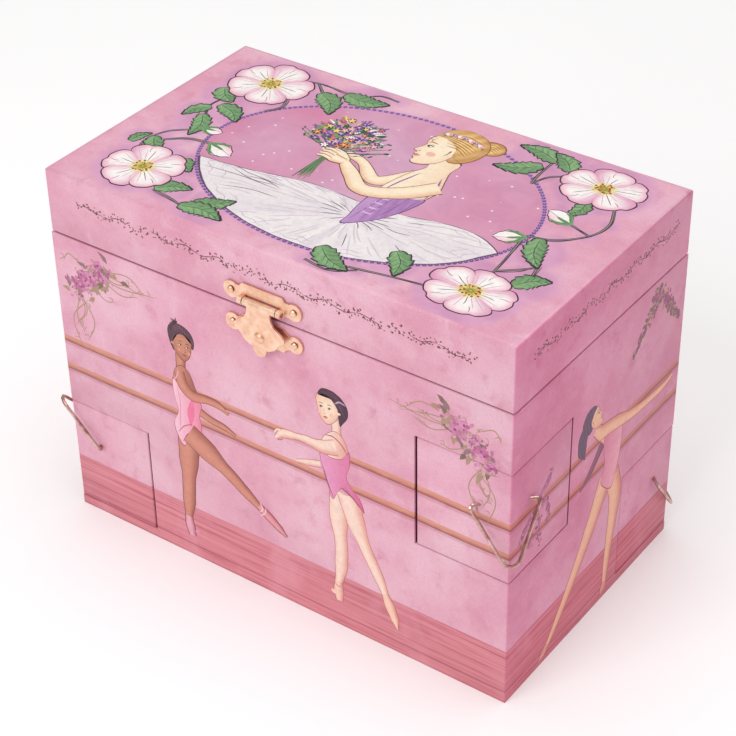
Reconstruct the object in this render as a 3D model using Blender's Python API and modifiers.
"""Ballerina jewellery box: a paper-covered musical box with a hinged lid and four swing-out corner drawers.

Metres, +Z up. X runs to the right of the front, the front faces -Y, and the origin is on the table,
below the middle of the case.
"""

import math
from collections import namedtuple

import bmesh
import bpy
from mathutils import Matrix, Vector

# ---- Driving dimensions -------------------------------------------------------------------------
CASE_WIDTH = 0.190
CASE_DEPTH = 0.111
CASE_HEIGHT = 0.1216
LID_HEIGHT = 0.0250
BOARD = 0.004
BASE_BOARD = 0.0035
SHELF_BOARD = 0.0036
TRAY_BOARD = 0.003
PARTITION = 0.0025

DRAWER_ACROSS = 0.0360
DRAWER_DEEP = 0.0366
DRAWER_HEIGHT = 0.0444
DRAWER_WALL = 0.0022
LINER = 0.0010
PIN_INSET = 0.0020
PIN_RADIUS = 0.0008
PIN_SEAT = 0.0020
POST = 0.0046

PULL_INSET = 0.0120
PULL_HEIGHT = 0.0280
PULL_REACH = 0.0256
PULL_STANDOFF = 0.0036
PULL_TAIL = 0.0046
PULL_BEND = 0.0012
PULL_TIP_BEND = 0.0032
WIRE = 0.00065

STAGE_SET_BACK = 0.0262
STAGE_RADIUS = 0.0200
STAGE_RIM = 0.0020
STAGE_DEPTH = 0.0090
HEADROOM = 0.0012

LINING_PAD = 0.0032
MIRROR_WIDTH = 0.1234
MIRROR_DEPTH = 0.0634
MIRROR_THICK = 0.0022
DIVIDER = 0.0022
DIVIDER_OFFSET = 0.0300
RING_ROLLS = 4

# ---- Fits ---------------------------------------------------------------------------------------
GAP = 0.0003
PARTING_GAP = 0.0004
DRAWER_FIT = 0.0004
DRAWER_FREE_FIT = 0.0010
TURN_FIT = 0.0003

# ---- Levels and inner sizes, worked out from the values above ------------------------------------
INNER_X = CASE_WIDTH / 2 - BOARD
INNER_Y = CASE_DEPTH / 2 - BOARD
BAY_HEIGHT = DRAWER_HEIGHT + 2 * DRAWER_FIT
LOW_BAY_Z = BASE_BOARD + GAP
SHELF_Z = LOW_BAY_Z + BAY_HEIGHT + GAP
MID_BAY_Z = SHELF_Z + SHELF_BOARD + GAP
TRAY_Z = MID_BAY_Z + BAY_HEIGHT + GAP
TRAY_TOP = TRAY_Z + TRAY_BOARD
LID_Z = CASE_HEIGHT + PARTING_GAP
LID_TOP = LID_Z + LID_HEIGHT
LID_INNER_TOP = LID_TOP - BOARD
LINING_Z = LID_INNER_TOP - GAP
MIRROR_Z = LINING_Z - MIRROR_THICK

STEEL = ((0.62, 0.62, 0.63), 0.32, 1.0)
BRASS = ((0.80, 0.58, 0.36), 0.28, 1.0)
PINK_PAPER = ((0.78, 0.40, 0.52), 0.55, 0.0)
LILAC_FELT = ((0.62, 0.42, 0.66), 0.95, 0.0)
BOARD_BROWN = ((0.45, 0.30, 0.22), 0.85, 0.0)

Bay = namedtuple("Bay", "name side front_or_rear floor tilt")
BAYS = (
    Bay("front_left", -1, -1, LOW_BAY_Z, 146.0),
    Bay("front_right", 1, -1, MID_BAY_Z, 33.0),
    Bay("rear_right", 1, 1, LOW_BAY_Z, 28.0),
    Bay("rear_left", -1, 1, MID_BAY_Z, 28.0),
)

for old in list(bpy.data.objects):
    bpy.data.objects.remove(old, do_unlink=True)

model = bpy.data.collections.new("ballerina_jewellery_box")
cutters = bpy.data.collections.new("cutters")
bpy.context.scene.collection.children.link(model)
bpy.context.scene.collection.children.link(cutters)
materials = {}


# ---- Modelling helpers --------------------------------------------------------------------------
def give_material(obj, finish):
    """One Principled material for each sub-part: colour, roughness and metallic."""
    colour, roughness, metallic = finish
    if obj.name not in materials:
        material = bpy.data.materials.new(obj.name)
        material.use_nodes = True
        shader = material.node_tree.nodes["Principled BSDF"]
        shader.inputs["Base Color"].default_value = (*colour, 1.0)
        shader.inputs["Roughness"].default_value = roughness
        shader.inputs["Metallic"].default_value = metallic
        materials[obj.name] = material
    obj.data.materials.clear()
    obj.data.materials.append(materials[obj.name])


def add_object(name, data, finish=None):
    obj = bpy.data.objects.new(name, data)
    if finish is None:
        cutters.objects.link(obj)
        obj.hide_render = True
        obj.display_type = "WIRE"
    else:
        model.objects.link(obj)
        give_material(obj, finish)
    return obj


def box(name, low, high, finish=None):
    """A box between two corners, with its origin at its middle."""
    low, high = Vector(low), Vector(high)
    mesh = bpy.data.meshes.new(name)
    bm = bmesh.new()
    bmesh.ops.create_cube(bm, size=1.0, matrix=Matrix.Diagonal((*(high - low), 1.0)))
    bm.to_mesh(mesh)
    bm.free()
    obj = add_object(name, mesh, finish)
    obj.location = (low + high) / 2
    return obj


def cylinder(name, start, end, radius, finish=None, segments=20):
    """A straight round bar between two points."""
    start, end = Vector(start), Vector(end)
    mesh = bpy.data.meshes.new(name)
    bm = bmesh.new()
    bmesh.ops.create_cone(
        bm,
        cap_ends=True,
        segments=segments,
        radius1=radius,
        radius2=radius,
        depth=(end - start).length,
    )
    bm.to_mesh(mesh)
    bm.free()
    mesh.shade_smooth()
    mesh.set_sharp_from_angle(angle=math.radians(35))
    obj = add_object(name, mesh, finish)
    obj.rotation_euler = (end - start).to_track_quat("Z", "Y").to_euler()
    obj.location = (start + end) / 2
    return obj


def turned(name, profile, finish=None, steps=24, closed=False):
    """A profile of (radius, height) points, running down its outer side, turned about local Z."""
    mesh = bpy.data.meshes.new(name)
    count = len(profile)
    edges = [(i, i + 1) for i in range(count - 1)]
    if closed:
        edges.append((count - 1, 0))
    mesh.from_pydata([(radius, 0.0, height) for radius, height in profile], edges, [])
    obj = add_object(name, mesh, finish)
    screw = obj.modifiers.new("Turn", "SCREW")
    screw.axis = "Z"
    screw.steps = steps
    screw.render_steps = steps
    screw.use_merge_vertices = True
    screw.merge_threshold = 0.00001
    screw.use_smooth_shade = True
    return obj


def as_mesh(curve_obj, finish):
    """The same solid as a mesh with its caps welded, so that it can be cut or joined."""
    name = curve_obj.name
    bpy.context.view_layer.update()
    graph = bpy.context.evaluated_depsgraph_get()
    mesh = bpy.data.meshes.new_from_object(curve_obj.evaluated_get(graph))
    place = curve_obj.matrix_world.copy()
    curve_data = curve_obj.data
    bpy.data.objects.remove(curve_obj, do_unlink=True)
    bpy.data.curves.remove(curve_data)
    bm = bmesh.new()
    bm.from_mesh(mesh)
    bmesh.ops.remove_doubles(bm, verts=bm.verts, dist=0.000001)
    bmesh.ops.recalc_face_normals(bm, faces=bm.faces)
    bm.to_mesh(mesh)
    bm.free()
    mesh.name = name
    obj = add_object(name, mesh, finish)
    obj.matrix_world = place
    return obj


def outline(name, loops, low, high, finish=None, place=None):
    """A flat outline in local XY, with any holes as further loops, from one local height to another."""
    curve = bpy.data.curves.new(name, "CURVE")
    curve.dimensions = "2D"
    curve.fill_mode = "BOTH"
    curve.extrude = (high - low) / 2
    for loop in loops:
        spline = curve.splines.new("POLY")
        spline.points.add(len(loop) - 1)
        for point, (x, y) in zip(spline.points, loop):
            point.co = (x, y, 0.0, 1.0)
        spline.use_cyclic_u = True
    obj = bpy.data.objects.new(name, curve)
    model.objects.link(obj)
    lift = Matrix.Translation((0.0, 0.0, (low + high) / 2))
    obj.matrix_world = (place or Matrix.Identity(4)) @ lift
    return as_mesh(obj, finish)


def wire(name, points, radius, finish, origin=(0.0, 0.0, 0.0)):
    """A round wire along a list of points, with its origin where it is wanted."""
    curve = bpy.data.curves.new(name, "CURVE")
    curve.dimensions = "3D"
    curve.bevel_depth = radius
    curve.bevel_resolution = 2
    curve.use_fill_caps = True
    spline = curve.splines.new("POLY")
    spline.points.add(len(points) - 1)
    for point, place in zip(spline.points, points):
        point.co = (*(Vector(place) - Vector(origin)), 1.0)
    obj = add_object(name, curve, finish)
    obj.location = origin
    return obj


def boolean(target, other, operation):
    modifier = target.modifiers.new(other.name, "BOOLEAN")
    modifier.operation = operation
    modifier.solver = "EXACT"
    modifier.object = other


def cut(target, *tools):
    for tool in tools:
        boolean(target, tool, "DIFFERENCE")


def join(target, *pieces):
    for piece in pieces:
        boolean(target, piece, "UNION")


def move_origin(obj, place):
    """Moves a mesh object's origin without moving its shape."""
    bpy.context.view_layer.update()
    shift = Matrix.Translation(place).inverted() @ obj.matrix_world
    obj.data.transform(shift)
    obj.matrix_world = Matrix.Translation(place)


def arc(centre, radius, start, end, count):
    """Points on an arc, in degrees from start to end."""
    points = []
    for i in range(count):
        angle = math.radians(start + (end - start) * i / (count - 1))
        points.append((centre[0] + radius * math.cos(angle), centre[1] + radius * math.sin(angle)))
    return points


def circle(centre, radius, count=20):
    return arc(centre, radius, 0.0, 360.0 * (count - 1) / count, count)


def mirrored(half):
    """An outline from its right half, top to bottom. A point on the middle line is a corner there."""
    return half + [(-x, y) for x, y in reversed(half) if x > 1e-7]


def rounded_path(corners, radii, steps=6):
    """A path through corners, each but the ends rounded by its radius."""
    points = [Vector(corners[0])]
    for before, corner, after, radius in zip(corners, corners[1:], corners[2:], radii):
        into = (Vector(before) - Vector(corner)).normalized()
        out = (Vector(after) - Vector(corner)).normalized()
        half = into.angle(out) / 2
        centre = Vector(corner) + (into + out).normalized() * radius / math.sin(half)
        first = Vector(corner) + into * radius / math.tan(half) - centre
        last = Vector(corner) + out * radius / math.tan(half) - centre
        for i in range(steps + 1):
            points.append(centre + first.slerp(last, i / steps).normalized() * radius)
    points.append(Vector(corners[-1]))
    return points


def facing_rear(y, x=0.0, z=0.0):
    """A place whose local Z points to the front, with local Y up."""
    return Matrix.Translation((x, y, z)) @ Matrix.Rotation(math.radians(90), 4, "X")


# ---- The case -----------------------------------------------------------------------------------
def bay_point(bay, across, deep, z=0.0):
    """A place given by its distances in from a corner's side face and from its front or rear face."""
    x = bay.side * (CASE_WIDTH / 2 - across)
    y = bay.front_or_rear * (CASE_DEPTH / 2 - deep)
    return Vector((x, y, z))


def bay_box(name, bay, across, deep, low, high, finish=None):
    """A box in a corner, by its two distances from the side face, two from the other, and two heights."""
    ends = [bay_point(bay, across[i], deep[i], (low, high)[i]) for i in range(2)]
    small = [min(ends[0][k], ends[1][k]) for k in range(3)]
    large = [max(ends[0][k], ends[1][k]) for k in range(3)]
    return box(name, small, large, finish)


def pin_place(bay, z=0.0):
    return bay_point(bay, PIN_INSET, DRAWER_DEEP - PIN_INSET, z)


def cut_bay(carcass, bay):
    """The opening of one corner drawer, with room for its pivot edge to turn, and the pin's two seats."""
    top = bay.floor + BAY_HEIGHT
    outside = -BOARD
    across = (outside, DRAWER_ACROSS + DRAWER_FREE_FIT)
    deep = (outside, DRAWER_DEEP + DRAWER_FIT)
    opening = bay_box(f"{bay.name}_opening", bay, across, deep, bay.floor, top)
    relief_radius = math.hypot(PIN_INSET, PIN_INSET) + TURN_FIT
    relief = cylinder(
        f"{bay.name}_relief", pin_place(bay, bay.floor), pin_place(bay, top), relief_radius, segments=32
    )
    seat_low = pin_place(bay, bay.floor - PIN_SEAT - GAP)
    seat_high = pin_place(bay, top + PIN_SEAT + GAP)
    seat = cylinder(f"{bay.name}_seat", seat_low, seat_high, PIN_RADIUS + TURN_FIT, segments=16)
    cut(carcass, opening, relief, seat)


def make_case():
    carcass = box(
        "case_carcass",
        (-CASE_WIDTH / 2, -CASE_DEPTH / 2, 0.0),
        (CASE_WIDTH / 2, CASE_DEPTH / 2, CASE_HEIGHT),
        PINK_PAPER,
    )
    hollow = box("case_hollow", (-INNER_X, -INNER_Y, -BOARD), (INNER_X, INNER_Y, CASE_HEIGHT + BOARD))
    cut(carcass, hollow)
    for bay in BAYS:
        cut_bay(carcass, bay)
    return carcass


def inner_board(name, low, high, finish):
    """A board that fits between the four walls."""
    x, y = INNER_X - GAP, INNER_Y - GAP
    return box(name, (-x, -y, low), (x, y, high), finish)


def make_partition(bay):
    """The L-shaped board that closes a drawer's bay from the inside of the case."""
    wall = BOARD + GAP
    across = DRAWER_ACROSS + DRAWER_FREE_FIT + GAP
    deep = DRAWER_DEEP + DRAWER_FIT + GAP
    corners = (
        (wall, deep),
        (across, deep),
        (across, wall),
        (across + PARTITION, wall),
        (across + PARTITION, deep + PARTITION),
        (wall, deep + PARTITION),
    )
    loop = [tuple(bay_point(bay, a, b))[:2] for a, b in corners]
    outline(f"bay_partition_{bay.name}", [loop], bay.floor, bay.floor + BAY_HEIGHT, BOARD_BROWN)


def make_pin(bay):
    low = pin_place(bay, bay.floor - PIN_SEAT)
    high = pin_place(bay, bay.floor + BAY_HEIGHT + PIN_SEAT)
    cylinder(f"drawer_pin_{bay.name}", low, high, PIN_RADIUS, STEEL, segments=12)


# ---- The corner drawers -------------------------------------------------------------------------
def cavity_loop(bay, inset):
    """The hollow of a drawer, which goes round the post that takes the pin, kept in by an inset."""
    wall = DRAWER_WALL + inset
    post = POST + inset
    far_across = DRAWER_ACROSS - wall
    far_deep = DRAWER_DEEP - wall
    corners = (
        (wall, wall),
        (far_across, wall),
        (far_across, far_deep),
        (post, far_deep),
        (post, DRAWER_DEEP - post),
        (wall, DRAWER_DEEP - post),
    )
    return [tuple(bay_point(bay, a, b))[:2] for a, b in corners]


def pull_axis(bay):
    """The two holes of a drawer's wire pull, on its side face and on its front or rear face."""
    z = bay.floor + DRAWER_FIT + PULL_HEIGHT
    return bay_point(bay, 0.0, PULL_INSET, z), bay_point(bay, PULL_INSET, 0.0, z)


def make_drawer(bay):
    low = bay.floor + DRAWER_FIT
    high = low + DRAWER_HEIGHT
    drawer = bay_box(
        f"drawer_{bay.name}", bay, (0.0, DRAWER_ACROSS), (0.0, DRAWER_DEEP), low, high, PINK_PAPER
    )
    move_origin(drawer, pin_place(bay, low))
    floor = low + DRAWER_WALL
    cavity = outline(f"{bay.name}_cavity", [cavity_loop(bay, 0.0)], floor, high + BOARD)
    bore = cylinder(
        f"{bay.name}_bore",
        pin_place(bay, low - BOARD),
        pin_place(bay, high + BOARD),
        PIN_RADIUS + TURN_FIT,
        segments=16,
    )
    first, second = pull_axis(bay)
    along = (second - first).normalized() * BOARD
    holes = cylinder(
        f"{bay.name}_pull_holes", first - along, second + along, WIRE + TURN_FIT, segments=12
    )
    cut(drawer, cavity, bore, holes)
    liner_low = floor + GAP
    outline(
        f"drawer_liner_{bay.name}", [cavity_loop(bay, GAP)], liner_low, liner_low + LINER, LILAC_FELT
    )
    make_pull(bay)


def make_pull(bay):
    """A V of wire whose two ends turn in one slanting bore line through the drawer's corner."""
    first, second = pull_axis(bay)
    middle = (first + second) / 2
    along = (second - first).normalized()
    outward = (bay_point(bay, 0.0, 0.0, middle.z) - middle).normalized()
    tilt = math.radians(bay.tilt)
    tip = middle + (outward * math.sin(tilt) - Vector((0.0, 0.0, math.cos(tilt)))) * PULL_REACH
    corners = (
        first + along * PULL_TAIL,
        first - along * PULL_STANDOFF,
        tip,
        second + along * PULL_STANDOFF,
        second - along * PULL_TAIL,
    )
    points = rounded_path(corners, (PULL_BEND, PULL_TIP_BEND, PULL_BEND), steps=4)
    wire(f"drawer_pull_{bay.name}", points, WIRE, BRASS, origin=middle)


# ---- The lid ------------------------------------------------------------------------------------
def make_lid():
    shell = box(
        "lid_shell",
        (-CASE_WIDTH / 2, -CASE_DEPTH / 2, LID_Z),
        (CASE_WIDTH / 2, CASE_DEPTH / 2, LID_TOP),
        PINK_PAPER,
    )
    hollow = box("lid_hollow", (-INNER_X, -INNER_Y, LID_Z - BOARD), (INNER_X, INNER_Y, LID_INNER_TOP))
    cut(shell, hollow)

    lining = inner_board("lid_lining", LID_Z + GAP, LINING_Z, LILAC_FELT)
    inside_x = INNER_X - GAP - LINING_PAD
    inside_y = INNER_Y - GAP - LINING_PAD
    well = box("lining_well", (-inside_x, -inside_y, LID_Z - BOARD), (inside_x, inside_y, MIRROR_Z))
    window_x = MIRROR_WIDTH / 2 + GAP
    window_y = MIRROR_DEPTH / 2 + GAP
    window = box(
        "mirror_window",
        (-window_x, -window_y, MIRROR_Z - BOARD),
        (window_x, window_y, LINING_Z + BOARD),
    )
    cut(lining, well, window)
    box(
        "lid_mirror",
        (-MIRROR_WIDTH / 2, -MIRROR_DEPTH / 2, MIRROR_Z),
        (MIRROR_WIDTH / 2, MIRROR_DEPTH / 2, LINING_Z),
        ((0.85, 0.86, 0.88), 0.03, 1.0),
    )
    return shell


# ---- The two rear hinges ------------------------------------------------------------------------
HINGE_OFFSET = 0.055
HINGE_WIDTH = 0.018
HINGE_LEAF = 0.0078
LEAF_THICK = 0.0007
KNUCKLE = 0.0016
HINGE_PIN = 0.0006
HINGE_Y = CASE_DEPTH / 2 + GAP + KNUCKLE
HINGE_Z = CASE_HEIGHT + PARTING_GAP / 2


def make_leaf(name, middle, up, spans):
    """One leaf: a plate on the rear face, and its share of the knuckles, each on a short neck."""
    back = CASE_DEPTH / 2 + GAP
    near = HINGE_Z + up * (KNUCKLE + TURN_FIT + GAP)
    far = near + up * HINGE_LEAF
    leaf = box(
        name,
        (middle - HINGE_WIDTH / 2, back, min(near, far)),
        (middle + HINGE_WIDTH / 2, back + LEAF_THICK, max(near, far)),
        BRASS,
    )
    reach = near + up * GAP
    bores = []
    for number, (start, end) in enumerate(spans):
        neck = box(
            f"{name}_neck_{number}",
            (middle + start, back, min(HINGE_Z, reach)),
            (middle + end, back + LEAF_THICK, max(HINGE_Z, reach)),
        )
        barrel = cylinder(
            f"{name}_barrel_{number}",
            (middle + start, HINGE_Y, HINGE_Z),
            (middle + end, HINGE_Y, HINGE_Z),
            KNUCKLE,
        )
        join(leaf, neck, barrel)
        bores.append((start, end))
    bore = cylinder(
        f"{name}_bore",
        (middle - HINGE_WIDTH, HINGE_Y, HINGE_Z),
        (middle + HINGE_WIDTH, HINGE_Y, HINGE_Z),
        HINGE_PIN + TURN_FIT,
        segments=16,
    )
    cut(leaf, bore)


def make_hinge(side, name):
    middle = side * HINGE_OFFSET
    third = HINGE_WIDTH / 6
    centre_span = ((-third + GAP / 2, third - GAP / 2),)
    outer_spans = ((-HINGE_WIDTH / 2, -third - GAP / 2), (third + GAP / 2, HINGE_WIDTH / 2))
    make_leaf(f"hinge_case_leaf_{name}", middle, -1, outer_spans)
    make_leaf(f"hinge_lid_leaf_{name}", middle, 1, centre_span)
    half = HINGE_WIDTH / 2
    cylinder(
        f"hinge_pin_{name}",
        (middle - half, HINGE_Y, HINGE_Z),
        (middle + half, HINGE_Y, HINGE_Z),
        HINGE_PIN,
        STEEL,
        segments=12,
    )


# ---- The front latch ----------------------------------------------------------------------------
LATCH_X = -0.0012
PLATE = 0.0006
LATCH_FRONT = -CASE_DEPTH / 2 - GAP
LATCH_PIVOT_Z = LID_Z + 0.0044
LATCH_KNUCKLE = 0.0015
LATCH_PIVOT_Y = LATCH_FRONT - PLATE - 0.0010
LATCH_BARREL = 0.0067
LUG = 0.0018
LATCH_PIN = 0.0005
EAR_X = 0.0128
EAR = 0.0032
UPPER_PLATE_Z = LID_Z + 0.0062
LOWER_PLATE_Z = CASE_HEIGHT - 0.0061
HASP_DOME = 0.0021
DOME_RISE = 0.0011
STUD = 0.0011
NAIL = 0.00045
NAIL_DEPTH = 0.0028
NAIL_HEAD = 0.0013
NAIL_DOME = 0.0007
NAIL_POINT = 0.0006
NAIL_HOLE = NAIL + TURN_FIT


def latch_place(y, z):
    return facing_rear(y, LATCH_X, z)


def eared_outline(half_height):
    """A plate with a waist between its body and the round ear at each end."""
    half = [(EAR_X - 0.0046, half_height), (EAR_X - 0.0036, half_height - 0.0013)]
    half += arc((EAR_X, 0.0), EAR, 128.0, -128.0, 13)
    half += [(EAR_X - 0.0036, -half_height + 0.0013), (EAR_X - 0.0046, -half_height)]
    return mirrored(half)


def make_latch_plate(name, z, half_height, holder):
    plate = outline(
        name, [eared_outline(half_height)], 0.0, PLATE, BRASS, latch_place(LATCH_FRONT, z)
    )
    for side in (-1, 1):
        x = LATCH_X + side * EAR_X
        hole = cylinder(
            f"{name}_hole_{side}",
            (x, LATCH_FRONT + NAIL_DEPTH + GAP, z),
            (x, LATCH_FRONT - PLATE * 3, z),
            NAIL_HOLE,
            segments=12,
        )
        cut(plate, hole)
        cut(holder, hole)
    return plate


def make_latch_nail(name, x, z):
    """A round-headed nail: its head stands just clear of the plate."""
    seat = PLATE + GAP
    profile = [(0.0, seat + NAIL_DOME)]
    profile += [(NAIL_HEAD * math.sin(a), seat + NAIL_DOME * math.cos(a)) for a in (0.4, 0.8, 1.2)]
    profile += [(NAIL_HEAD, seat), (NAIL, seat)]
    profile += [(NAIL, -NAIL_DEPTH + NAIL_POINT), (0.0, -NAIL_DEPTH)]
    nail = turned(name, profile, BRASS, steps=12)
    nail.matrix_world = facing_rear(LATCH_FRONT, x, z)


def make_latch(case, lid):
    upper = make_latch_plate("latch_upper_plate", UPPER_PLATE_Z, 0.0040, lid)
    slot_reach = LATCH_KNUCKLE + TURN_FIT
    slot = box(
        "latch_slot",
        (LATCH_X - LATCH_BARREL - GAP, LATCH_FRONT - PLATE * 2, LATCH_PIVOT_Z - slot_reach),
        (LATCH_X + LATCH_BARREL + GAP, LATCH_FRONT + PLATE, LATCH_PIVOT_Z + slot_reach),
    )
    cut(upper, slot)
    lug_start = LATCH_BARREL + GAP
    pivot = (LATCH_PIVOT_Y, LATCH_PIVOT_Z)
    for side in (-1, 1):
        ends = [LATCH_X + side * lug_start, LATCH_X + side * (lug_start + LUG)]
        lug = cylinder(f"latch_lug_{side}", (ends[0], *pivot), (ends[1], *pivot), LATCH_KNUCKLE)
        join(upper, lug)
    lug_bore = cylinder(
        "latch_lug_bore",
        (LATCH_X - 2 * lug_start, *pivot),
        (LATCH_X + 2 * lug_start, *pivot),
        LATCH_PIN + TURN_FIT,
        segments=16,
    )
    cut(upper, lug_bore)

    lower = make_latch_plate("latch_lower_plate", LOWER_PLATE_Z, 0.0046, case)
    stud_z = LOWER_PLATE_Z - 0.0006
    stud = cylinder(
        "latch_stud",
        (LATCH_X, LATCH_FRONT - PLATE / 2, stud_z),
        (LATCH_X, LATCH_FRONT - PLATE - 0.0009, stud_z),
        STUD,
        segments=16,
    )
    join(lower, stud)

    make_hasp(lug_bore, stud_z)
    pin_half = lug_start + LUG
    cylinder(
        "latch_pin", (LATCH_X - pin_half, *pivot), (LATCH_X + pin_half, *pivot), LATCH_PIN, STEEL, 12
    )
    for number, (side, z) in enumerate(
        ((-1, UPPER_PLATE_Z), (1, UPPER_PLATE_Z), (-1, LOWER_PLATE_Z), (1, LOWER_PLATE_Z)), start=1
    ):
        make_latch_nail(f"latch_nail_{number}", LATCH_X + side * EAR_X, z)


def make_hasp(bore, dome_z):
    """The swinging plate: a bell-shaped leaf with a domed catch and a thumb tab, rolled round its pin."""
    half = [
        (0.0047, 0.0),
        (0.0049, -0.0030),
        (0.0060, -0.0052),
        (0.0092, -0.0074),
        (0.0104, -0.0088),
        (0.0103, -0.0100),
        (0.0080, -0.0118),
        (0.0062, -0.0142),
        (0.0040, -0.0154),
        (0.0028, -0.0156),
    ]
    half += arc((0.0, -0.0163), 0.0026, 0.0, -75.0, 5)
    hasp = outline(
        "latch_hasp",
        [mirrored(half)],
        LATCH_KNUCKLE - LEAF_THICK,
        LATCH_KNUCKLE,
        BRASS,
        latch_place(LATCH_PIVOT_Y, LATCH_PIVOT_Z),
    )
    move_origin(hasp, (LATCH_X, LATCH_PIVOT_Y, LATCH_PIVOT_Z))
    knuckle = cylinder(
        "hasp_knuckle",
        (LATCH_X - LATCH_BARREL, LATCH_PIVOT_Y, LATCH_PIVOT_Z),
        (LATCH_X + LATCH_BARREL, LATCH_PIVOT_Y, LATCH_PIVOT_Z),
        LATCH_KNUCKLE,
    )
    front = LATCH_PIVOT_Y - LATCH_KNUCKLE
    dome_profile = [(0.0, DOME_RISE)]
    dome_profile += [(HASP_DOME * math.sin(a), DOME_RISE * math.cos(a)) for a in (0.35, 0.7, 1.05, 1.4)]
    dome = turned(
        "hasp_dome",
        dome_profile + [(HASP_DOME, -0.0002), (0.0, -0.0002)],
        steps=20,
    )
    dome.matrix_world = facing_rear(front, LATCH_X, dome_z)
    join(hasp, knuckle, dome)
    cut(hasp, bore)


# ---- The tray -----------------------------------------------------------------------------------
STAGE_Y = STAGE_SET_BACK
CUP_WALL = 0.0010
FLANGE = STAGE_RADIUS + STAGE_RIM
LINING_FLOOR_Z = TRAY_TOP + GAP
LINING_SHEET = 0.0010
LINING_TOP = CASE_HEIGHT - 0.0018
CUP_FLOOR = TRAY_TOP - STAGE_DEPTH + CUP_WALL
STAGE_TOP = CUP_FLOOR + CUP_WALL
SPINDLE = 0.0010
PLUNGER_X = 0.0200
PLUNGER_Y = INNER_Y - 0.0025
PLUNGER = 0.0008


def make_tray():
    board = inner_board("tray_floor", TRAY_Z, TRAY_TOP, BOARD_BROWN)
    lining = inner_board("tray_lining", LINING_FLOOR_Z, LINING_TOP, LILAC_FELT)
    sheet = GAP + LINING_SHEET
    hollow = box(
        "tray_hollow",
        (-INNER_X + sheet, -INNER_Y + sheet, LINING_FLOOR_Z + LINING_SHEET),
        (INNER_X - sheet, INNER_Y - sheet, CASE_HEIGHT + BOARD),
    )
    cut(lining, hollow)
    stage_hole = cylinder(
        "stage_hole",
        (0.0, STAGE_Y, TRAY_Z - BOARD),
        (0.0, STAGE_Y, TRAY_TOP + GAP / 2),
        STAGE_RADIUS + GAP,
        segments=48,
    )
    flange_hole = cylinder(
        "flange_hole",
        (0.0, STAGE_Y, TRAY_TOP + GAP / 2),
        (0.0, STAGE_Y, CASE_HEIGHT),
        FLANGE + GAP,
        segments=48,
    )
    plunger_hole = cylinder(
        "plunger_hole",
        (PLUNGER_X, PLUNGER_Y, TRAY_Z - BOARD),
        (PLUNGER_X, PLUNGER_Y, LINING_FLOOR_Z + BOARD / 2),
        PLUNGER + TURN_FIT,
        segments=16,
    )
    cut(board, stage_hole, plunger_hole)
    cut(lining, flange_hole, plunger_hole)

    make_stage_cup()
    low = LINING_FLOOR_Z + LINING_SHEET + GAP
    high = LINING_TOP - 0.0030
    reach_y = INNER_Y - sheet - GAP
    for side, name in ((-1, "left"), (1, "right")):
        middle = side * DIVIDER_OFFSET
        box(
            f"tray_divider_{name}",
            (middle - DIVIDER / 2, -reach_y, low),
            (middle + DIVIDER / 2, reach_y, high),
            LILAC_FELT,
        )
    make_ring_cushion(low, high, reach_y)


def make_stage_cup():
    """The round recess for the dancer, hung by its flange in the tray floor."""
    inner = STAGE_RADIUS - CUP_WALL
    hole = SPINDLE + TURN_FIT
    flange_low = TRAY_TOP + GAP
    profile = [
        (FLANGE, flange_low + CUP_WALL),
        (FLANGE, flange_low),
        (STAGE_RADIUS, flange_low),
        (STAGE_RADIUS, CUP_FLOOR),
        (hole, CUP_FLOOR),
        (hole, STAGE_TOP),
        (inner, STAGE_TOP),
        (inner, flange_low + CUP_WALL),
    ]
    cup = turned("stage_cup", profile, ((0.80, 0.55, 0.70), 0.4, 0.0), steps=48, closed=True)
    cup.location = (0.0, STAGE_Y, 0.0)


def make_ring_cushion(low, high, reach_y):
    """Padded rolls side by side in the right-hand compartment, which hold rings between them."""
    left = DIVIDER_OFFSET + DIVIDER / 2 + 2 * GAP
    right = INNER_X - GAP - LINING_SHEET - 2 * GAP
    front = 0.0
    rear = reach_y - GAP
    pitch = (rear - front) / RING_ROLLS
    crown = 0.0035
    shoulder = high - 0.0040 - crown
    loop = [(front, low), (rear, low)]
    for number in reversed(range(RING_ROLLS)):
        middle = front + (number + 0.5) * pitch
        for x, rise in arc((0.0, 0.0), 1.0, 0.0, 180.0, 7):
            loop.append((middle + x * pitch / 2, shoulder + rise * crown))
    clean = [loop[0]]
    for point in loop[1:]:
        if math.dist(point, clean[-1]) > 0.0001:
            clean.append(point)
    place = Matrix.Rotation(math.radians(90), 4, "Z") @ Matrix.Rotation(math.radians(90), 4, "X")
    outline("ring_cushion", [clean], left, right, LILAC_FELT, place)


# ---- The musical movement -----------------------------------------------------------------------
BED = 0.0022
BED_Y = INNER_Y - GAP
BED_FRONT = BED_Y - BED
BED_HALF = 0.0265
BED_LOW = SHELF_Z + SHELF_BOARD + 0.0024
BED_HIGH = CUP_FLOOR - 0.0036
DRUM = 0.0059
DRUM_LENGTH = 0.0180
PINION_TIP = 0.0069
PINION_TEETH = 20
PINION_THICK = 0.0026
WHEEL_TIP = 0.0115
WHEEL_TEETH = 32
WHEEL_THICK = 0.0020
CROWN = 0.0013
KEY_ROD = 0.0016
KEY_LOBE_X = 0.0066
KEY_LOBE = 0.0054
KEY_LOBE_HOLE = 0.0026
BARREL = 0.0110
BARREL_WALL = 0.0008
WHEEL_FRONT = STAGE_Y + PINION_TIP + GAP
WHEEL_BACK = WHEEL_FRONT + CROWN + WHEEL_THICK
BARREL_FRONT = WHEEL_BACK + GAP
PINION_Z = BED_LOW + 0.0062
DRUM_Z = PINION_Z + PINION_THICK + 0.0016
KEY_Z = PINION_Z + PINION_THICK / 2 + WHEEL_TIP - 0.0008
KEY_END = CASE_DEPTH / 2 + 0.0135


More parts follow.
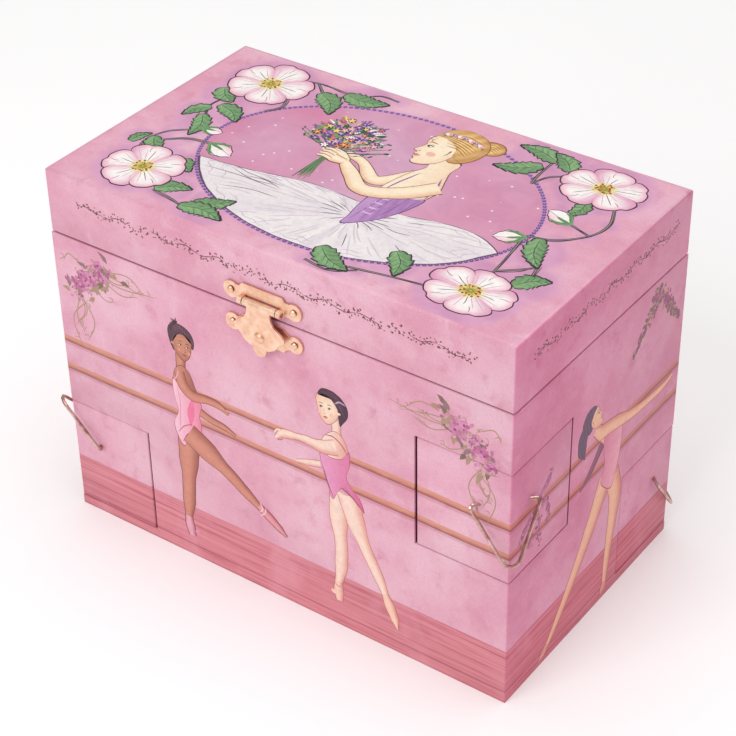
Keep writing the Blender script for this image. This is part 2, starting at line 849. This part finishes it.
def gear_loop(teeth, root, tip):
    """A toothed rim: a flat-topped tooth takes half of each pitch."""
    points = []
    pitch = 2 * math.pi / teeth
    for tooth in range(teeth):
        for share, radius in ((-0.28, root), (-0.16, tip), (0.16, tip), (0.28, root)):
            angle = (tooth + share) * pitch
            points.append((radius * math.cos(angle), radius * math.sin(angle)))
    return points


def make_bedplate(carcass):
    """The cast plate on the rear wall, with the comb's boss and the foot that carries the spindle."""
    bed = box("movement_bedplate", (-BED_HALF, BED_FRONT, BED_LOW), (BED_HALF, BED_Y, BED_HIGH), STEEL)
    comb_back = STAGE_Y + 0.0008
    boss = box(
        "comb_boss",
        (-BED_HALF, comb_back, DRUM_Z),
        (-BED_HALF + 0.0110, BED_FRONT + BED / 2, DRUM_Z + DRUM_LENGTH),
    )
    foot = box(
        "spindle_foot",
        (-0.0050, STAGE_Y - 0.0050, BED_LOW),
        (0.0050, BED_FRONT + BED / 2, BED_LOW + 0.0022),
    )
    foot_hole = cylinder(
        "foot_hole",
        (0.0, STAGE_Y, BED_LOW - BED),
        (0.0, STAGE_Y, BED_LOW + 2 * BED),
        SPINDLE + TURN_FIT,
        segments=16,
    )
    key_hole = cylinder(
        "key_hole",
        (0.0, BED_FRONT - BED, KEY_Z),
        (0.0, CASE_DEPTH / 2 + BED, KEY_Z),
        KEY_ROD + TURN_FIT,
        segments=20,
    )
    join(bed, boss, foot)
    cut(bed, foot_hole, key_hole)
    cut(carcass, key_hole)


def make_barrel():
    """The fixed cup that holds the mainspring, the spring, and the crown wheel in front of them."""
    length = BED_FRONT - GAP - BARREL_FRONT
    bore = KEY_ROD + TURN_FIT
    inner = BARREL - BARREL_WALL
    profile = [
        (BARREL, length),
        (BARREL, 0.0),
        (bore, 0.0),
        (bore, BARREL_WALL),
        (inner, BARREL_WALL),
        (inner, length),
    ]
    cup = turned("spring_barrel", profile, BRASS, steps=32, closed=True)
    cup.matrix_world = facing_rear(BED_FRONT - GAP, 0.0, KEY_Z)

    strip = 0.0004
    turns = 5
    count = turns * 16
    start = bore + strip
    rise = inner - GAP - strip - start

    def coil(offset):
        loop = []
        for i in range(count + 1):
            share = i / count
            angle = share * turns * 2 * math.pi
            radius = start + rise * share + offset
            loop.append((radius * math.cos(angle), radius * math.sin(angle)))
        return loop

    loop = coil(0.0) + list(reversed(coil(strip)))
    place = facing_rear(BED_FRONT - GAP, 0.0, KEY_Z)
    outline("mainspring", [loop], BARREL_WALL + GAP, length - GAP, STEEL, place)

    wheel_profile = [
        (WHEEL_TIP, 0.0),
        (WHEEL_TIP, -CROWN - WHEEL_THICK),
        (bore, -CROWN - WHEEL_THICK),
        (bore, -CROWN),
        (WHEEL_TIP - 0.0016, -CROWN),
        (WHEEL_TIP - 0.0016, 0.0),
    ]
    wheel = turned("crown_wheel", wheel_profile, BRASS, steps=64, closed=True)
    wheel.matrix_world = facing_rear(WHEEL_FRONT, 0.0, KEY_Z)
    star = outline(
        "crown_slots",
        [gear_loop(WHEEL_TEETH, WHEEL_TIP - 0.0030, WHEEL_TIP + 0.0010)],
        -CROWN * 0.9,
        CROWN,
        None,
        facing_rear(WHEEL_FRONT, 0.0, KEY_Z),
    )
    cut(wheel, star)


def make_key():
    """The winding key: a rod from the crown wheel through the rear wall, and two flat lobes."""
    rod = cylinder(
        "winding_key",
        (0.0, WHEEL_FRONT + 0.0002, KEY_Z),
        (0.0, KEY_END - 0.0040, KEY_Z),
        KEY_ROD,
        STEEL,
    )
    half = [(0.0, 0.0030), (0.0030, 0.0022)]
    half += arc((KEY_LOBE_X, 0.0), KEY_LOBE, 150.0, -150.0, 15)
    half += [(0.0030, -0.0022), (0.0, -0.0030)]
    holes = [circle((side * KEY_LOBE_X, 0.0), KEY_LOBE_HOLE, 14) for side in (-1, 1)]
    wings = outline(
        "key_wings",
        [mirrored(half)] + holes,
        -0.0006,
        0.0006,
        None,
        Matrix.Translation((0.0, KEY_END - 0.0054, KEY_Z)),
    )
    join(rod, wings)


def make_drum():
    """The pinned drum and its pinion on the upright spindle that also carries the dancer's disc."""
    disc_low = STAGE_TOP + 0.0004
    disc_high = disc_low + 0.0012
    spindle_profile = [
        (0.0, disc_high),
        (0.0070, disc_high),
        (0.0070, disc_low),
        (SPINDLE, disc_low),
        (SPINDLE, BED_LOW - 0.0010),
        (0.0, BED_LOW - 0.0010),
    ]
    spindle = turned("stage_spindle", spindle_profile, BRASS, steps=32)
    spindle.location = (0.0, STAGE_Y, 0.0)

    bore = SPINDLE + GAP
    hub = 0.0030
    hub_low = PINION_Z + PINION_THICK / 2 - DRUM_Z
    drum_profile = [
        (DRUM, DRUM_LENGTH),
        (DRUM, 0.0),
        (hub, 0.0),
        (hub, hub_low),
        (bore, hub_low),
        (bore, DRUM_LENGTH),
    ]
    drum = turned("tune_drum", drum_profile, BRASS, steps=36, closed=True)
    drum.location = (0.0, STAGE_Y, DRUM_Z)
    pinion = outline(
        "drum_pinion",
        [gear_loop(PINION_TEETH, PINION_TIP - 0.0012, PINION_TIP), circle((0.0, 0.0), bore + 0.0002, 16)],
        PINION_Z,
        PINION_Z + PINION_THICK,
        None,
        Matrix.Translation((0.0, STAGE_Y, 0.0)),
    )
    join(drum, pinion)
    return disc_high


def make_comb():
    """The steel comb: one tooth for each note, with its tips just clear of the drum."""
    notes = 18
    tips = -DRUM - GAP - 0.0002
    root = tips - 0.0090
    back = -BED_HALF + 0.0005
    pitch = DRUM_LENGTH / notes
    loop = [(back, 0.0), (back, DRUM_LENGTH)]
    for note in reversed(range(notes)):
        low = note * pitch + pitch * 0.18
        high = (note + 1) * pitch - pitch * 0.18
        loop += [(root, high), (tips, high), (tips, low), (root, low)]
    outline("tune_comb", [loop], 0.0, 0.0010, STEEL, facing_rear(STAGE_Y + 0.0005, 0.0, DRUM_Z))


GOVERNOR_X = 0.0190
GOVERNOR_Y = STAGE_Y + 0.0080
GOVERNOR_LOW = BED_LOW + 0.0050
GOVERNOR_HIGH = BED_HIGH - 0.0030
GOVERNOR_PIVOT = 0.0005
WORM = 0.0015


def make_governor():
    """The C-shaped bracket and the air brake that turns in it and sets the tempo."""
    back = BED_FRONT - GAP
    arm = 0.0018
    front = GOVERNOR_Y - 0.0030
    loop = [
        (back, GOVERNOR_LOW),
        (front, GOVERNOR_LOW),
        (front, GOVERNOR_LOW + arm),
        (back - 0.0020, GOVERNOR_LOW + arm),
        (back - 0.0020, GOVERNOR_HIGH - arm),
        (front, GOVERNOR_HIGH - arm),
        (front, GOVERNOR_HIGH),
        (back, GOVERNOR_HIGH),
    ]
    place = Matrix.Rotation(math.radians(90), 4, "Z") @ Matrix.Rotation(math.radians(90), 4, "X")
    bracket = outline(
        "governor_bracket", [loop], GOVERNOR_X - 0.0030, GOVERNOR_X + 0.0030, BRASS, place
    )
    pivot_holes = cylinder(
        "governor_pivot_holes",
        (GOVERNOR_X, GOVERNOR_Y, GOVERNOR_LOW - arm),
        (GOVERNOR_X, GOVERNOR_Y, GOVERNOR_HIGH + arm),
        GOVERNOR_PIVOT + TURN_FIT,
        segments=12,
    )
    cut(bracket, pivot_holes)

    low = GOVERNOR_LOW + arm + GAP
    high = GOVERNOR_HIGH - arm - GAP
    worm_top = low + (high - low) * 0.5
    fan_profile = [
        (0.0, high + arm),
        (GOVERNOR_PIVOT, high + arm),
        (GOVERNOR_PIVOT, worm_top),
        (WORM, worm_top - 0.0005),
        (WORM, low + 0.0010),
        (GOVERNOR_PIVOT, low + 0.0005),
        (GOVERNOR_PIVOT, low - arm),
        (0.0, low - arm),
    ]
    fan = turned("governor_fan", fan_profile, STEEL, steps=16)
    fan.location = (GOVERNOR_X, GOVERNOR_Y, 0.0)
    blade = box(
        "fan_blade",
        (GOVERNOR_X - 0.0040, GOVERNOR_Y - 0.0004, worm_top + 0.0010),
        (GOVERNOR_X + 0.0040, GOVERNOR_Y + 0.0004, high - 0.0010),
    )
    join(fan, blade)


def make_plunger():
    """The wire that the closing lid presses down, which stops the governor below the tray."""
    foot_z = BED_HIGH + PLUNGER + 0.0012
    corners = (
        (PLUNGER_X, PLUNGER_Y, LID_Z + GAP - 0.0004),
        (PLUNGER_X, PLUNGER_Y, foot_z),
        (PLUNGER_X, GOVERNOR_Y + 0.0060, foot_z),
    )
    points = rounded_path(corners, (0.0020,), steps=4)
    wire("stop_plunger", points, PLUNGER, STEEL, origin=(PLUNGER_X, PLUNGER_Y, foot_z))


# ---- The dancer ---------------------------------------------------------------------------------
SHOULDER = 0.705
FINGERTIPS = 0.98
SKIRT_LEVEL = 0.492
ARM_ROOT = 0.0022
ARM_TAPER = 0.0012
ARM_BOW = 0.0032
ARM = 0.0005
WAIST = 0.0031
SKIRT = 0.0120
SPRING_WIRE = 0.00035
SPRING_COIL = 0.0019
SPRING_RISE = 0.0068
SPRING_TURNS = 5


def make_dancer(disc_top):
    """A small figure in a net skirt, on a coil spring that stands on the turning disc."""
    per_turn = 10
    low = disc_top + GAP + SPRING_WIRE
    points = []
    for i in range(SPRING_TURNS * per_turn + 1):
        angle = 2 * math.pi * i / per_turn
        points.append(
            (
                SPRING_COIL * math.cos(angle),
                STAGE_Y + SPRING_COIL * math.sin(angle),
                low + SPRING_RISE * i / (SPRING_TURNS * per_turn),
            )
        )
    wire("dancer_spring", points, SPRING_WIRE, STEEL)

    foot = low + SPRING_RISE + SPRING_WIRE + GAP
    tall = (MIRROR_Z - HEADROOM - foot) / FINGERTIPS
    body = [
        (0.0000, 0.900),
        (0.0009, 0.893),
        (0.0017, 0.868),
        (0.0019, 0.835),
        (0.0015, 0.795),
        (0.0008, 0.775),
        (0.0009, 0.745),
        (0.0026, 0.728),
        (0.0027, 0.690),
        (0.0024, 0.640),
        (0.0017, 0.575),
        (0.0025, 0.510),
        (0.0027, 0.475),
        (0.0020, 0.400),
        (0.0014, 0.280),
        (0.0016, 0.200),
        (0.0009, 0.090),
        (0.0008, 0.030),
        (0.0026, 0.022),
        (0.0026, 0.000),
        (0.0000, 0.000),
    ]
    profile = [(radius, foot + share * tall) for radius, share in body]
    figure = turned("dancer_figure", profile, ((0.86, 0.66, 0.56), 0.35, 0.0), steps=20)
    figure.location = (0.0, STAGE_Y, 0.0)
    for side in (-1, 1):
        arm_path = [(side * x, STAGE_Y, foot + share * tall) for x, share in arm_points()]
        arm = wire(f"dancer_arm_{side}", arm_path, ARM, STEEL)
        solid = as_mesh(arm, None)
        join(figure, solid)

    skirt_z = foot + SKIRT_LEVEL * tall
    skirt = [
        (SKIRT, skirt_z - 0.0006),
        (SKIRT, skirt_z - 0.0014),
        (WAIST, skirt_z - 0.0004),
        (WAIST, skirt_z + 0.0010),
    ]
    tutu = turned("dancer_tutu", skirt, ((0.92, 0.86, 0.90), 0.6, 0.0), steps=32, closed=True)
    tutu.location = (0.0, STAGE_Y, 0.0)


def arm_points():
    """One raised arm, as (distance from the middle, share of the height), shoulder to fingertips."""
    points = []
    for i in range(9):
        share = i / 8
        bend = math.sin(math.pi * share)
        reach = ARM_ROOT - ARM_TAPER * share + ARM_BOW * bend
        points.append((reach, SHOULDER + (FINGERTIPS - SHOULDER) * share))
    return points


def main():
    case = make_case()
    inner_board("base_panel", 0.0, BASE_BOARD, BOARD_BROWN)
    inner_board("mid_shelf", SHELF_Z, SHELF_Z + SHELF_BOARD, BOARD_BROWN)
    for bay in BAYS:
        make_partition(bay)
        make_pin(bay)
        make_drawer(bay)
    lid = make_lid()
    make_hinge(-1, "left")
    make_hinge(1, "right")
    make_latch(case, lid)
    make_tray()
    make_bedplate(case)
    make_barrel()
    make_key()
    disc_top = make_drum()
    make_comb()
    make_governor()
    make_plunger()
    make_dancer(disc_top)


main()
